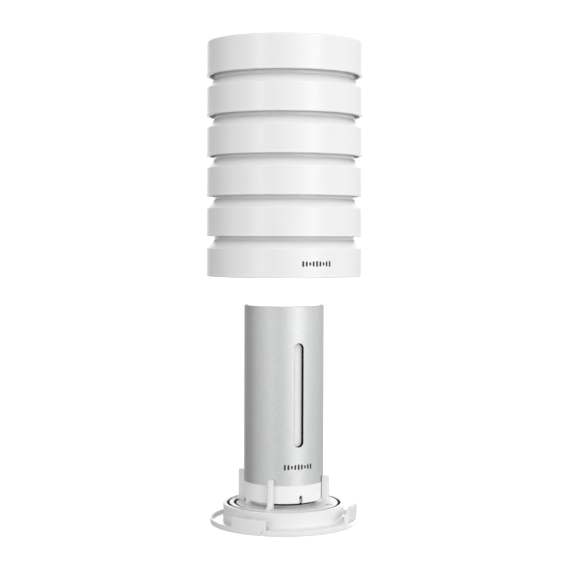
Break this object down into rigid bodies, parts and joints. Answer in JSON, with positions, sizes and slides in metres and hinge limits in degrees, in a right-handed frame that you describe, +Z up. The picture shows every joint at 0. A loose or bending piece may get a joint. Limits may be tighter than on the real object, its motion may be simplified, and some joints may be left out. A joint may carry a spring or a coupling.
{
  "type": "outdoor weather module with louvred radiation shield",
  "caption": "Round louvred radiation shield lifted off a slotted aluminium weather module that stands in a clip-in base.",
  "frame": {"origin": "centre of the base's underside, on the common axis of base, module and shield", "axes": "+Z up along the common axis, -Y through the module's slot (front), +X to the right seen from the front"},
  "size_m": [0.0878, 0.0878, 0.2704],
  "materials": {
    "shield_plastic": "satin white moulded plastic",
    "base_plastic": "satin white moulded plastic",
    "module_plastic": "fine-textured white plastic",
    "tube_aluminium": "bead-blasted and clear anodised",
    "diffuser_plastic": "milky light guide",
    "grey_plastic": "grey moulded plastic",
    "black_rubber": "matt black",
    "board_laminate": "green solder mask over glass laminate",
    "chip_plastic": "black moulding compound",
    "cell_wrap": "printed shrink sleeve without lettering",
    "steel": "bright steel",
    "spring_steel": "dark spring steel",
    "brass": "plain brass"
  },
  "bodies": {
    "base": {"base_shell": "base_plastic", "outer_groove_seal": "black_rubber", "inner_groove_seal": "black_rubber", "cradle": "base_plastic", "seat_pad": "black_rubber", "squeeze_strip_left": "base_plastic", "squeeze_strip_right": "base_plastic", "latch_spring": "spring_steel", "cradle_screw_1": "steel", "foot_pad_1": "black_rubber", "cradle_screw_2": "steel", "foot_pad_2": "black_rubber", "cradle_screw_3": "steel", "foot_pad_3": "black_rubber"},
    "latch": {"release_latch": "base_plastic"},
    "module": {"sensor_tube": "tube_aluminium", "top_cap": "module_plastic", "inner_chassis": "grey_plastic", "circuit_board": "board_laminate", "radio_can": "steel", "controller_chip": "chip_plastic", "humidity_sensor": "module_plastic", "pressure_sensor": "steel", "status_led": "diffuser_plastic", "trace_antenna": "brass", "slot_diffuser": "diffuser_plastic", "battery_left": "cell_wrap", "battery_right": "cell_wrap", "upper_contact_left": "spring_steel", "upper_contact_right": "spring_steel", "top_gasket": "black_rubber", "board_screw_1": "steel", "board_screw_2": "steel", "board_screw_3": "steel", "board_screw_4": "steel"},
    "cover": {"battery_cover": "module_plastic", "cover_seal": "black_rubber", "cover_catch": "grey_plastic", "lower_contact": "spring_steel"},
    "shield": {"shield_roof": "shield_plastic", "louvre_ring_1": "shield_plastic", "louvre_ring_2": "shield_plastic", "louvre_ring_3": "shield_plastic", "louvre_ring_4": "shield_plastic", "louvre_ring_5": "shield_plastic", "tie_rod_1": "steel", "rod_insert_1": "brass", "landing_post_1": "base_plastic", "tie_rod_2": "steel", "rod_insert_2": "brass", "landing_post_2": "base_plastic", "tie_rod_3": "steel", "rod_insert_3": "brass", "landing_post_3": "base_plastic"}
  },
  "joints": [
    {"name": "latch_press", "type": "slide", "parent": "base", "child": "latch", "axis": [0.8013, -0.5983, 0], "range_m": [-0.0015, 0], "stiffness_N_per_m": 1500},
    {"name": "module_lift", "type": "slide", "parent": "base", "child": "module", "axis": [0, 0, 1], "range_m": [0, 0.03]},
    {"name": "cover_twist", "type": "hinge", "parent": "module", "child": "cover", "pos_m": [0, 0, 0.014], "axis": [0, 0, 1], "range_deg": [0, 25]},
    {"name": "shield_lift", "type": "slide", "parent": "module", "child": "shield", "axis": [0, 0, 1], "range_m": [-0.1391, 0]}
  ]
}
